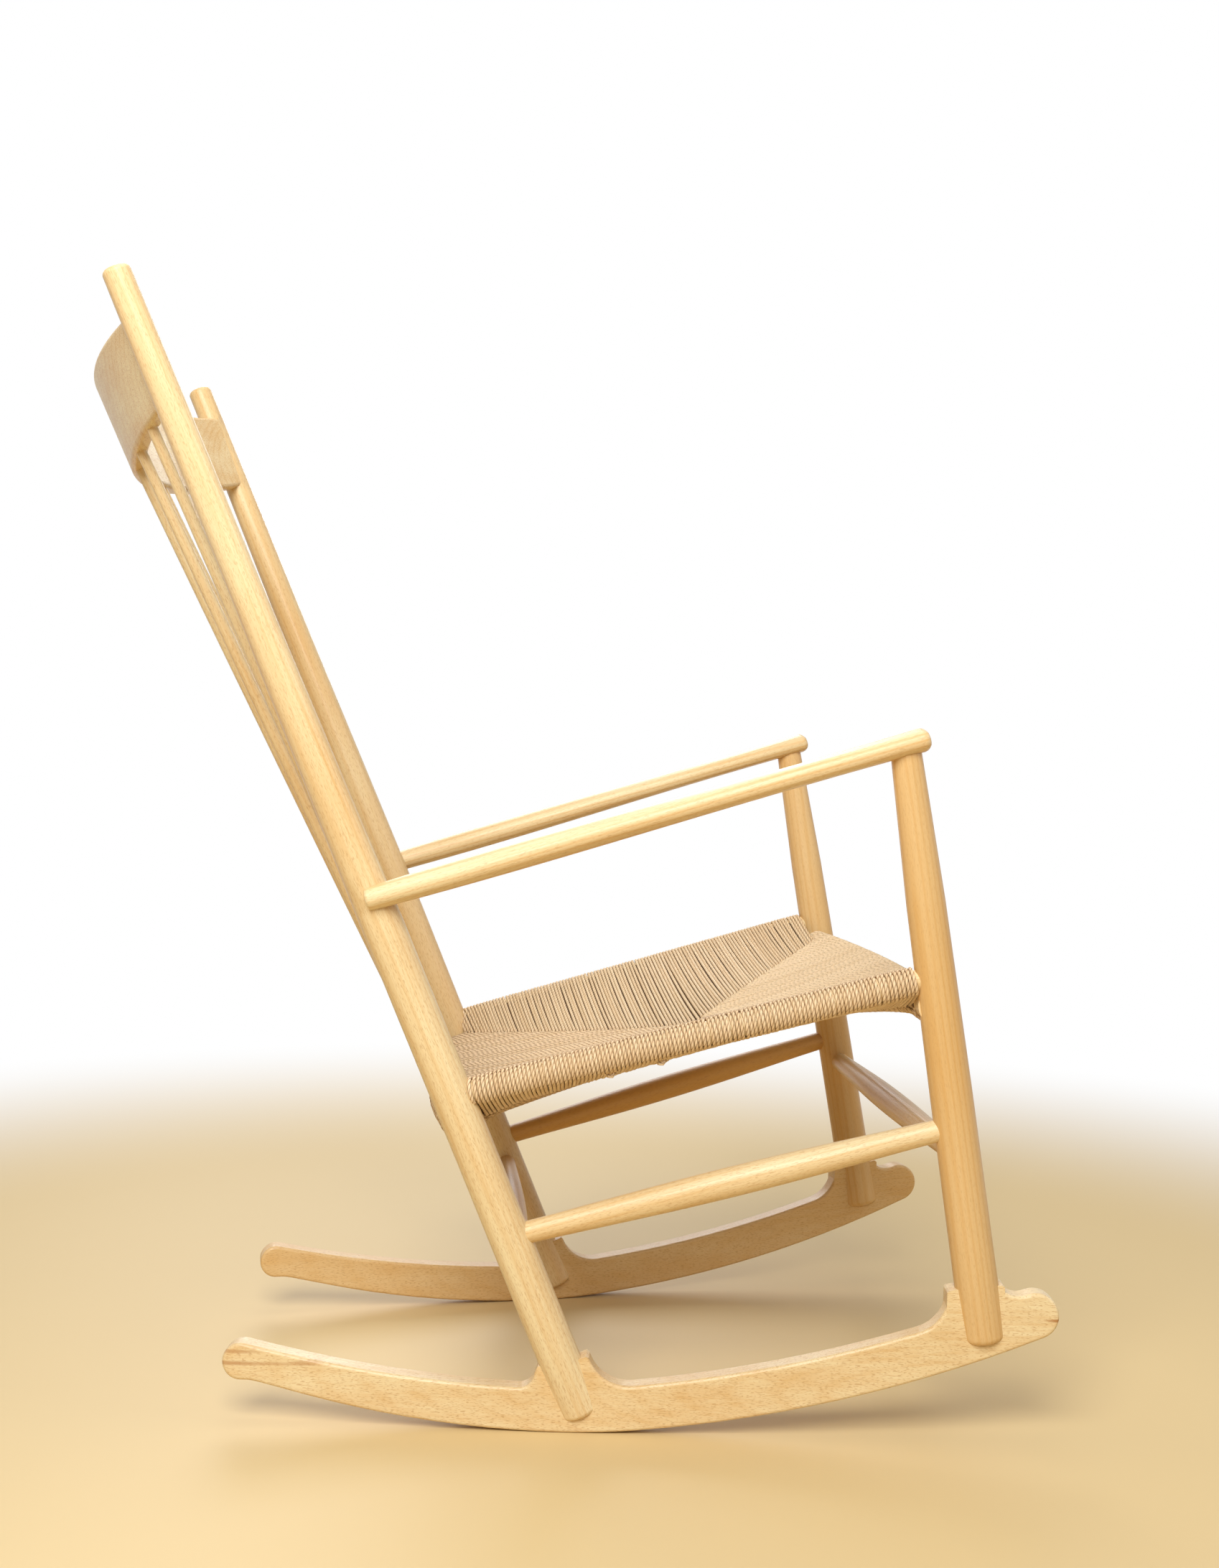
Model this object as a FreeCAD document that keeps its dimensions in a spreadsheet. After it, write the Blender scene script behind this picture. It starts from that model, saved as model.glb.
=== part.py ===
# Rocking chair with a tall spindle back, round posts, slim arms, curved rockers and a cord seat.
# Millimetres and degrees. The sitter faces -Y, the sitter's left is +X, and the floor is z = 0.
# The origin is on the floor, in the middle of the chair's outline.
import FreeCAD, Part
import math
import os
import Sketcher
from FreeCAD import Placement, Rotation, Vector

SIZES = {
    # Rocker
    "rocker_thickness": 23.0,  # board thickness
    "rocker_half_spread": 204.0,  # middle of the board from the centre line, at the rocking point
    "rocker_toe_in": 7.1,  # degrees that the tails lean towards each other
    "rocking_point": -8.7,  # where the resting chair touches the floor, along Y
    "sole_rear_radius": 1050.0,  # curve on the floor behind the rocking point
    "sole_middle_radius": 655.0,  # tighter curve just ahead of the rocking point
    "sole_middle_length": 64.0,  # run of the tighter curve
    "sole_front_radius": 1334.0,  # flatter curve up to the toe
    "toe_past_leg": 80.4,  # toe ahead of the front leg's slot, along the sole
    "tail_past_post": 336.4,  # tail behind the rear post's slot, along the sole
    "toe_depth_at_crown": 43.8,  # board depth at the toe
    "toe_depth": 43.5,  # board depth behind the front leg
    "span_depth": 43.6,  # board depth halfway between the legs
    "instep_depth": 42.5,  # board depth ahead of the rear post
    "heel_depth": 41.0,  # board depth behind the rear post
    "tail_depth": 35.6,  # diameter of the tail's round end
    "tail_drop": 5.3,  # round end below the line of the sole
    "tail_run_start": 250.0,  # straight run to the tail starts behind the rocking point
    "tail_run_length": 46.4,  # straight run, up to the hollow beside the round end
    "tail_top_radius": 1390.0,  # upper edge behind the rear post
    "ear_lip": 6.0,  # width of an ear beside its leg
    "ear_sweep_length": 46.0,  # run of the hollow that leads up to the rear post
    "heel_sweep_length": 31.0,  # run of the hollow behind the rear post
    "leg_sweep_length": 25.0,  # run of the hollow that leads up to the front leg
    "rocker_edge_round": 3.5,  # rounding of the edges
    # Rear post
    "rear_post_ahead": 3.0,  # slot middle ahead of the rocking point
    "rear_post_slot_height": 45.0,  # slot middle above the floor
    "rear_post_rake": 22.35,  # degrees back from upright
    "rear_post_splay": 3.45,  # degrees out from upright
    "rear_post_below_slot": 31.0,  # slot middle down to the end
    "rear_post_length": 1145.0,  # end to end
    "rear_post_foot_diameter": 40.5,
    "rear_post_waist_diameter": 39.2,  # below the seat
    "rear_post_seat_diameter": 39.4,  # above the seat
    "rear_post_shoulder_diameter": 30.8,  # at shoulder height
    "rear_post_top_diameter": 26.4,
    "rear_post_end_round": 5.0,  # rounding of both ends
    "post_ear_front_rise": 20.0,  # top of the front ear above the slot middle
    "post_ear_rear_rise": 28.0,  # top of the rear ear above the slot middle
    # Front leg
    "front_leg_ahead": 390.7,  # slot middle ahead of the rocking point
    "front_leg_slot_height": 115.0,  # slot middle above the floor
    "front_leg_rake": 9.4,  # degrees back from upright
    "front_leg_splay": 3.0,  # degrees out from upright
    "front_leg_below_slot": 19.0,  # slot middle down to the end
    "front_leg_foot_diameter": 42.0,
    "front_leg_shin_diameter": 41.0,
    "front_leg_seat_diameter": 40.0,  # below the seat
    "front_leg_upper_diameter": 36.5,
    "front_leg_top_diameter": 28.2,  # under the arm
    "front_leg_end_round": 6.0,  # rounding of the lower end
    "leg_ear_front_rise": 32.5,  # top of the front ear above the slot middle
    "leg_ear_rear_rise": 34.5,  # top of the rear ear above the slot middle
    "leg_tenon_diameter": 18.0,  # tenon in the arm
    "leg_tenon_length": 26.0,  # tenon end to end, half of it in the arm
    # Arm
    "arm_rear_height": 511.0,  # middle of the arm above the floor at the rear post
    "arm_slope": 16.8,  # degrees up towards the front
    "arm_lap": 14.5,  # middle of the arm outside the post's middle line
    "arm_behind_post": 4.0,  # end of the arm behind the post's middle line
    "arm_past_leg": 21.5,  # front end ahead of the leg's middle line
    "arm_rear_width": 30.0,
    "arm_rear_thickness": 22.0,
    "arm_swell_width": 33.0,
    "arm_swell_thickness": 25.0,
    "arm_middle_width": 37.0,
    "arm_middle_thickness": 22.2,
    "arm_front_width": 43.0,
    "arm_front_thickness": 22.8,
    "arm_front_round": 6.0,  # rounding of the front end
    "arm_rear_round": 3.0,  # rounding of the rear end
    "arm_dowel_diameter": 8.0,
    "arm_dowel_length": 26.0,
    "arm_dowel_cover": 4.0,  # wood left over the dowel in the arm
    # Stretchers
    "side_stretcher_rear_height": 188.0,  # above the floor at the rear post
    "side_stretcher_front_height": 301.0,  # above the floor at the front leg
    "rear_stretcher_height": 162.0,  # above the floor
    "front_stretcher_height": 273.0,  # above the floor
    "stretcher_end_diameter": 20.8,
    "stretcher_quarter_diameter": 24.6,
    "stretcher_belly_diameter": 28.4,
    "stretcher_depth": 4.0,  # end of a stretcher past the middle line of its leg
    # Seat frame
    "side_rail_rear_height": 323.5,  # above the floor at the rear post
    "side_rail_front_height": 443.5,  # above the floor at the front leg
    "side_rail_diameter": 22.0,
    "side_rail_end_diameter": 18.0,
    "front_rail_height": 415.5,  # above the floor
    "front_rail_setback": 9.0,  # ends behind the front leg's middle line
    "front_rail_bow": 13.0,  # middle ahead of the ends
    "front_rail_width": 24.0,
    "front_rail_depth": 29.0,  # top to bottom
    "rear_rail_along": 321.0,  # up the slope of the back from the floor
    "rear_rail_bow": 20.0,  # middle behind the ends
    "rear_rail_diameter": 25.0,
    "rail_tenon": 4.0,  # end of a rail past the middle line of its leg
    # Back
    "top_rail_along": 1029.0,  # lower edge, up the slope of the back from the floor
    "top_rail_height": 99.0,  # in the middle
    "top_rail_upper_drop": 8.0,  # ends of the upper edge below its middle
    "top_rail_lower_rise": 6.0,  # ends of the lower edge above its middle
    "top_rail_lean": 1.2,  # degrees back from the posts
    "top_rail_thickness": 17.0,
    "top_rail_bulge": 78.5,  # rear face behind the posts' plane, in the middle
    "top_rail_bend_radius": 500.0,  # rear face
    "top_rail_housing": 4.0,  # end of the rail short of the post's middle line
    "top_rail_edge_round": 4.0,
    "spindle_top_spacing": 66.3,
    "spindle_foot_spacing": 53.5,
    "spindle_top_diameter": 10.4,
    "spindle_belly_diameter": 12.2,
    "spindle_foot_diameter": 10.8,
    "spindle_top_tenon": 18.0,  # in the top rail
    "spindle_foot_tenon": 3.0,  # past the middle of the rear rail
    # Cord seat
    "cord_wrap": 3.6,  # thickness of the cord round a rail
    "seat_sag": 12.0,  # dip of the top layer in the middle
    "seat_lift": 20.0,  # rise of the bottom layer in the middle
    "bare_rail": 5.0,  # unwrapped side rail behind the front leg
}

# Places along a turned piece, as shares of its length
POST_SHARES = (0.0, 0.22, 0.44, 0.73, 1.0)
LEG_SHARES = (0.0, 0.15, 0.42, 0.74, 1.0)
STRETCHER_SHARES = (0.0, 0.23, 0.5, 0.77, 1.0)
SIDE_RAIL_SHARES = (0.0, 0.1, 0.5, 0.9, 1.0)
SPINDLE_SHARES = (0.0, 0.45, 1.0)
ARM_SHARES = (0.0, 0.2, 0.6, 1.0)

# Points of the rocker's ears: out from the leg in lips, and up in shares of the ear's rise
POST_FRONT_SHARES = ((-0.5, 1.0), (1.1, 1.0), (1.4, 0.87))
POST_REAR_SHARES = ((-0.5, 1.0), (0.1, 1.0), (1.17, 0.775))
LEG_FRONT_SHARES = ((-0.5, 1.0), (0.5, 1.0), (0.83, 0.93), (0.72, 0.81))
LEG_REAR_SHARES = ((-0.5, 1.0), (1.1, 1.0), (1.38, 0.95), (1.79, 0.58))

# Seat layer: places back from the front rail, width of the middle panel, share of the sag or lift
SEAT_SHARES = (
    (0.0, 0.94, 0.0), (0.16, 0.63, 0.6), (0.31, 0.24, 0.8), (0.41, 0.05, 1.0),
    (0.52, 0.24, 0.9), (0.69, 0.5, 0.7), (1.0, 0.91, 0.0))
END_WIDTH_SHARE = 0.95
SIDE_ROUND_SHARE = 0.8
END_ANGLES = (40, 70)
TOUCH = 1e-4
SPINDLES = 7

doc = FreeCAD.newDocument("rocking_chair")
sheet = doc.addObject("Spreadsheet::Sheet", "Sizes")


def fill_sheet():
    for row, (alias, value) in enumerate(SIZES.items(), 1):
        sheet.set("A%d" % row, alias.replace("_", " "))
        sheet.set("B%d" % row, str(value))
        sheet.setAlias("B%d" % row, alias)
    doc.recompute()


fill_sheet()


def size(alias):
    return float(sheet.get(alias))


def tangent(alias):
    return math.tan(math.radians(size(alias)))


def add(kind, label):
    piece = doc.addObject(kind, label)
    piece.Label = label
    return piece


def unit(vector):
    vector = Vector(vector)
    vector.normalize()
    return vector


# Lines that the frame is set out from, on the sitter's left side

def rocker_point(ahead, height):
    across = size("rocker_half_spread") + ahead * tangent("rocker_toe_in")
    return Vector(across, size("rocking_point") - ahead, height)


POST_SLOT = rocker_point(size("rear_post_ahead"), size("rear_post_slot_height"))
POST_LINE = unit(Vector(tangent("rear_post_splay"), tangent("rear_post_rake"), 1))
LEG_SLOT = rocker_point(size("front_leg_ahead"), size("front_leg_slot_height"))
LEG_LINE = unit(Vector(tangent("front_leg_splay"), tangent("front_leg_rake"), 1))
RAKE = math.radians(size("rear_post_rake"))
BACK_RISE = Vector(0, math.sin(RAKE), math.cos(RAKE))
BACK_NORMAL = Vector(0, math.cos(RAKE), -math.sin(RAKE))
BACK_FOOT = Vector(0, POST_SLOT.y - POST_SLOT.z * math.tan(RAKE), 0)


def post_at(height):
    return POST_SLOT + POST_LINE * ((height - POST_SLOT.z) / POST_LINE.z)


def leg_at(height):
    return LEG_SLOT + LEG_LINE * ((height - LEG_SLOT.z) / LEG_LINE.z)


def back_at(across, behind, along):
    return BACK_FOOT + Vector(across, 0, 0) + BACK_NORMAL * behind + BACK_RISE * along


def post_on_back(along):
    return post_at(back_at(0, 0, along).z)


# Sketches and the makers of common shapes

def plane_of(body, role):
    return [f for f in body.Origin.OriginFeatures if f.Role == role][0]


def sketch_on(body, name, role, offset=None):
    sketch = body.newObject("Sketcher::SketchObject", name)
    sketch.AttachmentSupport = [(plane_of(body, role), "")]
    sketch.MapMode = "FlatFace"
    if offset:
        sketch.setExpression("AttachmentOffset.Base.z", offset)
    return sketch


def circle_sketch(body, name, diameter, offset, cover=None):
    sketch = sketch_on(body, name, "XY_Plane", offset)
    radius = size(diameter) / 2
    rule = "Sizes." + diameter
    if cover:
        radius += size(cover)
        rule += " + 2 * Sizes." + cover
    ring = sketch.addGeometry(Part.Circle(Vector(0, 0, 0), Vector(0, 0, 1), radius), False)
    sketch.addConstraint(Sketcher.Constraint("Coincident", ring, 3, -1, 1))
    width = sketch.addConstraint(Sketcher.Constraint("Diameter", ring, radius * 2))
    sketch.setExpression("Constraints[%d]" % width, rule)
    return sketch


def draw_outline(sketch, start, steps):
    here = start
    for middle, there in steps:
        if middle is None:
            number = sketch.addGeometry(Part.LineSegment(here, there), False)
        else:
            number = sketch.addGeometry(Part.Arc(here, middle, there), False)
        sketch.addConstraint(Sketcher.Constraint("Block", number))
        here = there


def edges_near(shape, points, reach):
    names = []
    for number, edge in enumerate(shape.Edges):
        for point in points:
            if edge.distToShape(Part.Vertex(point))[0] < reach:
                name = "Edge%d" % (number + 1)
                if name not in names:
                    names.append(name)
    return names


def round_over(body, base, name, edges, expression):
    fillet = body.newObject("PartDesign::Fillet", name)
    fillet.Base = (base, edges)
    fillet.setExpression("Radius", expression)
    doc.recompute()
    return fillet


def turned(label, start, end, shares, diameters, cover=None):
    # A slim round piece with a swell, or its cover, lofted through rings along the body's Z
    body = add("PartDesign::Body", label)
    length = (end - start).Length
    rings = []
    for number, (share, diameter) in enumerate(zip(shares, diameters)):
        name = "%s_ring_%d" % (label, number + 1)
        rings.append(circle_sketch(body, name, diameter, "%r mm" % (length * share), cover))
    loft = body.newObject("PartDesign::AdditiveLoft", label + "_loft")
    loft.Profile = rings[0]
    loft.Sections = rings[1:]
    doc.recompute()
    body.Placement = Placement(start, Rotation(Vector(0, 0, 1), end - start))
    return body


def leg_of(label, start, end, shares, diameters, rounding, round_top):
    # A post or leg, turned about the body's Z from a profile of straight tapers
    body = add("PartDesign::Body", label)
    length = (end - start).Length
    sketch = sketch_on(body, label + "_profile", "XZ_Plane")
    points = [Vector(0, 0, 0)]
    points += [Vector(size(d) / 2, length * share, 0) for share, d in zip(shares, diameters)]
    points.append(Vector(0, length, 0))
    for number, point in enumerate(points):
        following = points[(number + 1) % len(points)]
        sketch.addGeometry(Part.LineSegment(point, following), False)
    sketch.addConstraint(Sketcher.Constraint("Coincident", 0, 1, -1, 1))
    last = len(points) - 1
    for number in range(last):
        sketch.addConstraint(Sketcher.Constraint("Coincident", number, 2, number + 1, 1))
    sketch.addConstraint(Sketcher.Constraint("Coincident", last, 2, 0, 1))
    sketch.addConstraint(Sketcher.Constraint("Vertical", last))
    sketch.addConstraint(Sketcher.Constraint("Horizontal", 0))
    sketch.addConstraint(Sketcher.Constraint("Horizontal", last - 1))
    for number, diameter in enumerate(diameters):
        width = sketch.addConstraint(Sketcher.Constraint("DistanceX", -1, 1, number, 2, size(diameter) / 2))
        sketch.setExpression("Constraints[%d]" % width, "Sizes.%s / 2" % diameter)
        if number:
            sketch.addConstraint(Sketcher.Constraint("DistanceY", -1, 1, number, 2,
                                                     length * shares[number]))
    turn = body.newObject("PartDesign::Revolution", label + "_turning")
    turn.Profile = sketch
    turn.ReferenceAxis = (sketch, ["V_Axis"])
    turn.Angle = 360
    doc.recompute()
    rims = [Vector(size(diameters[0]) / 2, 0, 0)]
    if round_top:
        rims.append(Vector(size(diameters[-1]) / 2, 0, length))
    caps = [n for n in edges_near(turn.Shape, rims, TOUCH) if turn.Shape.getElement(n).BoundBox.ZLength < TOUCH]
    round_over(body, turn, label + "_ends", caps, "Sizes." + rounding)
    body.Placement = Placement(start, Rotation(Vector(0, 0, 1), end - start))
    return body


def bowed(label, width, depth, end_half, bow, extra=0):
    # A rail bent to an arc that bulges towards the body's +Y, its ends level with the origin
    radius = (end_half ** 2 + bow ** 2) / (2 * bow)
    body = add("PartDesign::Body", label)
    sketch = sketch_on(body, label + "_section", "YZ_Plane")
    half_width = size(width) / 2 + extra
    half_depth = size(depth) / 2 + extra
    middle = Vector(radius, 0, 0)
    if abs(half_width - half_depth) < TOUCH:
        sketch.addGeometry(Part.Circle(middle, Vector(0, 0, 1), half_width), False)
    else:
        tall = middle + Vector(0, half_depth, 0)
        broad = middle + Vector(half_width, 0, 0)
        if half_depth > half_width:
            sketch.addGeometry(Part.Ellipse(tall, broad, middle), False)
        else:
            sketch.addGeometry(Part.Ellipse(broad, tall, middle), False)
    bend = body.newObject("PartDesign::Revolution", label + "_bend")
    bend.Profile = sketch
    bend.ReferenceAxis = (sketch, ["V_Axis"])
    bend.Angle = 2 * math.degrees(math.asin(end_half / radius))
    bend.Midplane = True
    doc.recompute()
    return body, bow - radius


def mirrored(source, label):
    copy = add("Part::Mirroring", label)
    copy.Source = source
    copy.Normal = Vector(1, 0, 0)
    copy.Base = Vector(0, 0, 0)
    return copy


def joined(label, pieces):
    fuse = add("Part::MultiFuse", label)
    fuse.Shapes = pieces
    return fuse


def fitted(label, piece, others):
    cut = add("Part::Cut", label)
    cut.Base = piece
    cut.Tool = others[0] if len(others) == 1 else joined(label + "_joints", others)
    return cut


# Rockers: a flat board, seen from the side, with an ear at each side of its two slots

def sole_arc(ahead):
    # Centre and radius of the sole's arc at a place ahead of the rocking point
    middle = size("sole_middle_radius")
    front = size("sole_front_radius")
    length = size("sole_middle_length")
    if ahead <= 0:
        return Vector(0, size("sole_rear_radius"), 0), size("sole_rear_radius")
    if ahead <= length:
        return Vector(0, middle, 0), middle
    angle = math.asin(length / middle)
    return Vector((middle - front) * math.sin(angle), middle + (front - middle) * math.cos(angle), 0), front


def sole(ahead, depth):
    centre, radius = sole_arc(ahead)
    angle = math.asin((ahead - centre.x) / radius)
    return centre + Vector(math.sin(angle), -math.cos(angle), 0) * (radius - depth)


def board_slot(leg):
    turn = math.cos(math.radians(size("rocker_toe_in")))
    lean = math.atan(tangent(leg + "_rake") / turn)
    middle = Vector(size(leg + "_ahead") / turn, size(leg + "_slot_height"), 0)
    return middle, Vector(-math.sin(lean), math.cos(lean), 0), Vector(math.cos(lean), math.sin(lean), 0)


def ear_points(leg, diameter, side, rise, shares):
    middle, up, out = board_slot(leg)
    half = size(diameter) / 2
    return [middle + out * side * (half + size("ear_lip") * lips) + up * size(rise) * share
            for lips, share in shares]


def arc_middle(start, heading, end):
    # Halfway point of the arc that leaves start along heading and reaches end, and its heading there
    chord = end - start
    bend = math.atan2(heading.x * chord.y - heading.y * chord.x, heading.dot(chord))
    left = Vector(-chord.y, chord.x, 0)
    turn = Rotation(Vector(0, 0, 1), math.degrees(2 * bend))
    return (start + end) / 2 - left * math.tan(bend / 2) / 2, turn.multVec(heading)


def centre_through(first, second, third):
    return Part.Circle(first, second, third).Center


def heading_at(point, centre, forward):
    out = unit(point - centre)
    return Vector(-out.y, out.x, 0) * (1 if -out.y * forward > 0 else -1)


def touching_centre(point, ball, radius, ball_radius):
    # Centre above both of an arc through point that touches a circle at ball
    near = radius
    far = radius + ball_radius
    gap = ball - point
    share = (near ** 2 - far ** 2 + gap.Length ** 2) / (2 * gap.Length)
    rise = math.sqrt(near ** 2 - share ** 2)
    up = unit(Vector(-gap.y, gap.x, 0))
    if up.y < 0:
        up = up * -1
    return point + unit(gap) * share + up * rise


def rocker_steps():
    post = board_slot("rear_post")[0].x
    leg = board_slot("front_leg")[0].x
    toe_end = leg + size("toe_past_leg") - size("toe_depth_at_crown") / 2
    tail_end = post - size("tail_past_post") + size("tail_depth") / 2
    post_half = size("rear_post_waist_diameter") / 2
    leg_half = size("front_leg_shin_diameter") / 2
    leg_front = ear_points("front_leg", "front_leg_shin_diameter", 1, "leg_ear_front_rise", LEG_FRONT_SHARES)
    leg_rear = ear_points("front_leg", "front_leg_shin_diameter", -1, "leg_ear_rear_rise", LEG_REAR_SHARES)
    post_front = ear_points("rear_post", "rear_post_waist_diameter", 1, "post_ear_front_rise",
                            POST_FRONT_SHARES)
    post_rear = ear_points("rear_post", "rear_post_waist_diameter", -1, "post_ear_rear_rise",
                           POST_REAR_SHARES)

    # Toe: half round, then a hollow up to the ear
    toe_depth = size("toe_depth_at_crown")
    crown = sole(toe_end, toe_depth)
    toe_centre = sole(toe_end, toe_depth / 2)
    nose = toe_centre + heading_at(toe_centre, sole_arc(toe_end)[0], 1) * (toe_depth / 2)
    dip = arc_middle(crown, heading_at(crown, toe_centre, -1), leg_front[-1])[0]

    # Upper edge between the legs, with a hollow up to the ear at each end
    front = sole(leg - leg_half - size("leg_sweep_length"), size("toe_depth"))
    rear = sole(post + post_half + size("ear_sweep_length"), size("instep_depth"))
    middle = sole((leg + post) / 2, size("span_depth"))
    bend = centre_through(front, middle, rear)
    leg_sweep = arc_middle(front, heading_at(front, bend, 1), leg_rear[-1])[0]
    post_sweep = arc_middle(rear, heading_at(rear, bend, -1), post_front[-1])[0]

    # Tail: upper edge that tapers to a round end
    round_radius = size("tail_depth") / 2
    heel = sole(post - post_half - size("heel_sweep_length"), size("heel_depth"))
    tail_centre = sole(tail_end, round_radius - size("tail_drop"))
    tail_bend = touching_centre(heel, tail_centre, size("tail_top_radius"), round_radius)
    tail_top = tail_centre + unit(tail_bend - tail_centre) * round_radius
    tail_middle = tail_bend - unit(tail_bend - (heel + tail_top) / 2) * size("tail_top_radius")
    heel_sweep = arc_middle(heel, heading_at(heel, tail_bend, 1), post_rear[-1])[0]

    # The sole ends in a straight run and a hollow that touches the round end
    run_start = sole(-size("tail_run_start"), 0)
    run_line = heading_at(run_start, sole_arc(-size("tail_run_start"))[0], -1)
    run_end = run_start + run_line * size("tail_run_length")
    gap = tail_centre - run_end
    below = Vector(-run_line.y, run_line.x, 0)
    hollow = (gap.dot(gap) - round_radius ** 2) / (2 * (round_radius + below.dot(gap)))
    hollow_centre = run_end + below * hollow
    tail_under = tail_centre + unit(hollow_centre - tail_centre) * round_radius
    hollow_middle = hollow_centre + unit((run_end + tail_under) / 2 - hollow_centre) * hollow
    tip = tail_centre - unit(tail_top - tail_centre + tail_under - tail_centre) * round_radius
    if (tip - tail_centre).x > 0:
        tip = tail_centre * 2 - tip
    tight_end = sole(size("sole_middle_length"), 0)
    steps = [
        (hollow_middle, run_end),
        (None, run_start),
        (sole(-size("tail_run_start") / 2, 0), sole(0, 0)),
        (sole(size("sole_middle_length") / 2, 0), tight_end),
        (sole((size("sole_middle_length") + toe_end) / 2, 0), sole(toe_end, 0)),
        (nose, crown),
        (dip, leg_front[-1]),
    ]
    steps += [(None, point) for point in leg_front[-2::-1] + leg_rear]
    steps += [(leg_sweep, front), (middle, rear), (post_sweep, post_front[-1])]
    steps += [(None, point) for point in post_front[-2::-1] + post_rear]
    steps += [(heel_sweep, heel), (tail_middle, tail_top), (tip, tail_under)]
    return tail_under, steps


def make_rocker(label):
    body = add("PartDesign::Body", label)
    sketch = sketch_on(body, label + "_outline", "XZ_Plane")
    start, steps = rocker_steps()
    draw_outline(sketch, start, steps)
    board = body.newObject("PartDesign::Pad", label + "_board")
    board.Profile = sketch
    board.SideType = "Symmetric"
    board.setExpression("Length", "Sizes.rocker_thickness")
    doc.recompute()
    faces = (size("rocker_thickness") / 2, -size("rocker_thickness") / 2)
    middles = [Vector(m.x, y, m.y) for m, end in steps if m is not None for y in faces]
    round_over(body, board, label + "_edges", edges_near(board.Shape, middles, TOUCH),
               "Sizes.rocker_edge_round")
    body.Placement = Placement(rocker_point(0, 0), Rotation(Vector(0, 0, 1), size("rocker_toe_in") - 90))
    return body


rocker = make_rocker("rocker_left")

# Posts and legs before their joints are cut
post_start = POST_SLOT - POST_LINE * size("rear_post_below_slot")
post_end = post_start + POST_LINE * size("rear_post_length")
post_blank = leg_of("rear_post_blank", post_start, post_end, POST_SHARES,
                    ("rear_post_foot_diameter", "rear_post_waist_diameter", "rear_post_seat_diameter",
                     "rear_post_shoulder_diameter", "rear_post_top_diameter"), "rear_post_end_round", True)

# The arm's middle line runs from beside the rear post to the middle of the front leg's top
arm_post = post_at(size("arm_rear_height"))
rise = tangent("arm_slope")
lean = tangent("front_leg_rake")
arm_leg_height = ((arm_post.z + rise * (arm_post.y - LEG_SLOT.y + lean * LEG_SLOT.z)) / (1 + rise * lean))
arm_leg = leg_at(arm_leg_height)
arm_side = arm_post + Vector(size("arm_lap"), 0, 0)
arm_line = unit(arm_leg - arm_side)
arm_start = arm_side - arm_line * size("arm_behind_post")
arm_end = arm_leg + arm_line * size("arm_past_leg")

leg_start = LEG_SLOT - LEG_LINE * size("front_leg_below_slot")
leg_blank = leg_of("front_leg_blank", leg_start, arm_leg, LEG_SHARES,
                   ("front_leg_foot_diameter", "front_leg_shin_diameter", "front_leg_seat_diameter",
                    "front_leg_upper_diameter", "front_leg_top_diameter"), "front_leg_end_round", False)


def arm_section(body, name, width, thickness, offset, inset):
    # An oval of four arcs: two flat ones over and under, two round ones at the sides
    half = width / 2 - inset
    tall = thickness / 2 - inset
    side = tall * SIDE_ROUND_SHARE
    reach = half - side
    flat = (reach ** 2 + tall ** 2 - side ** 2) / (2 * (tall - side))
    point = unit(Vector(reach, flat - tall, 0)) * side + Vector(reach, 0, 0)
    sketch = sketch_on(body, name, "XY_Plane", "%r mm" % offset)
    corners = (point, Vector(-point.x, point.y, 0), Vector(-point.x, -point.y, 0), Vector(point.x, -point.y, 0))
    middles = (Vector(0, tall, 0), Vector(-half, 0, 0), Vector(0, -tall, 0), Vector(half, 0, 0))
    steps = [(middle, corners[(n + 1) % len(corners)]) for n, middle in enumerate(middles)]
    draw_outline(sketch, corners[0], steps)
    return sketch


def loft_through(body, name, sections):
    loft = body.newObject("PartDesign::AdditiveLoft", name)
    loft.Profile = sections[0]
    loft.Sections = sections[1:]
    doc.recompute()
    return loft


def make_arm(label):
    body = add("PartDesign::Body", label)
    length = (arm_end - arm_start).Length
    names = ("rear", "swell", "middle", "front")
    places = [length * share for share in ARM_SHARES]
    places[0] = size("arm_rear_round")
    places[-1] = length - size("arm_front_round")
    sections = []
    for name, place in zip(names, places):
        sections.append(arm_section(body, "%s_%s" % (label, name), size("arm_%s_width" % name),
                                    size("arm_%s_thickness" % name), place, 0))
    loft_through(body, label + "_loft", sections)
    for name, first, way in (("rear", sections[0], -1), ("front", sections[-1], 1)):
        radius = size("arm_%s_round" % name)
        start = places[0] if way < 0 else places[-1]
        ends = [first]
        for angle in END_ANGLES:
            out = math.sin(math.radians(angle)) * radius
            inset = radius - math.cos(math.radians(angle)) * radius
            ends.append(arm_section(body, "%s_%s_%d" % (label, name, angle), size("arm_%s_width" % name),
                                    size("arm_%s_thickness" % name), start + way * out, inset))
        loft_through(body, "%s_%s_end" % (label, name), ends)
    across = unit(Vector(0, 0, 1).cross(arm_line))
    above = arm_line.cross(across)
    turn = FreeCAD.Matrix(across.x, above.x, arm_line.x, arm_start.x,
                          across.y, above.y, arm_line.y, arm_start.y,
                          across.z, above.z, arm_line.z, arm_start.z, 0, 0, 0, 1)
    body.Placement = Placement(turn)
    return body


arm_blank = make_arm("arm_blank")


def pin(label, diameter, length, start, direction):
    cylinder = add("Part::Cylinder", label)
    cylinder.setExpression("Radius", "Sizes.%s / 2" % diameter)
    cylinder.setExpression("Height", "Sizes." + length)
    cylinder.Placement = Placement(start, Rotation(Vector(0, 0, 1), direction))
    return cylinder


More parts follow.
